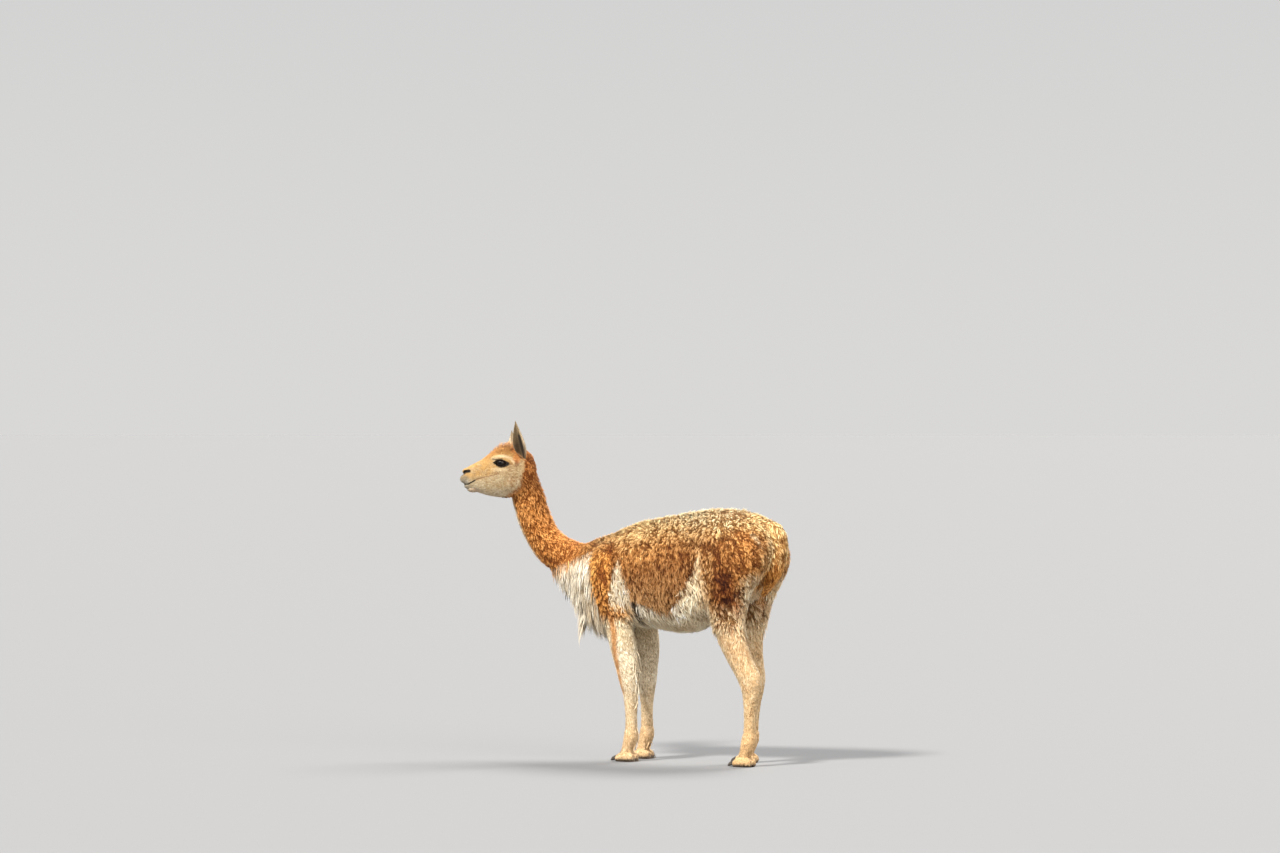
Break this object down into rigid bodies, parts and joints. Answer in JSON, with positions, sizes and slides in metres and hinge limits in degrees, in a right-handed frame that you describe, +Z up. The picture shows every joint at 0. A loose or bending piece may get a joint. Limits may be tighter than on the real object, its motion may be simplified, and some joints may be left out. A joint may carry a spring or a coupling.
{
  "type": "vicuna, standing life-size model",
  "caption": "Still life-size vicuna standing on all fours, head turned to its left, fleece in clumps, long breast and belly hair.",
  "frame": {"origin": "bottom centre of the bounding box, on the floor under the trunk", "axes": "+Z up; the animal faces -X, its left side is towards -Y"},
  "size_m": [1.2056, 0.426, 1.2015],
  "materials": {
    "fleece": "dense crimped wool, matte, cinnamon to fawn",
    "pale_hair": "short to medium hair, matte, cream to ochre",
    "face_fur": "short velvety hair, matte",
    "ear_skin": "thin ear with short hair, matte",
    "eye": "wet, glossy, nearly black",
    "nail": "dull horn"
  },
  "bodies": {
    "root": {"head": "face_fur", "ear_left": "ear_skin", "ear_right": "ear_skin", "eye_left": "eye", "eye_right": "eye", "neck_upper": "fleece", "neck_lower": "fleece", "torso": "fleece", "tail": "fleece", "fore_leg_left_upper": "pale_hair", "fore_leg_left_lower": "pale_hair", "fore_leg_right_upper": "pale_hair", "fore_leg_right_lower": "pale_hair", "hind_leg_left_upper": "pale_hair", "hind_leg_left_lower": "pale_hair", "hind_leg_right_upper": "pale_hair", "hind_leg_right_lower": "pale_hair", "fore_foot_left": "pale_hair", "fore_foot_right": "pale_hair", "hind_foot_left": "pale_hair", "hind_foot_right": "pale_hair", "fore_nail_left_outer": "nail", "fore_nail_left_inner": "nail", "fore_nail_right_outer": "nail", "fore_nail_right_inner": "nail", "hind_nail_left_outer": "nail", "hind_nail_left_inner": "nail", "hind_nail_right_outer": "nail", "hind_nail_right_inner": "nail"}
  },
  "joints": []
}
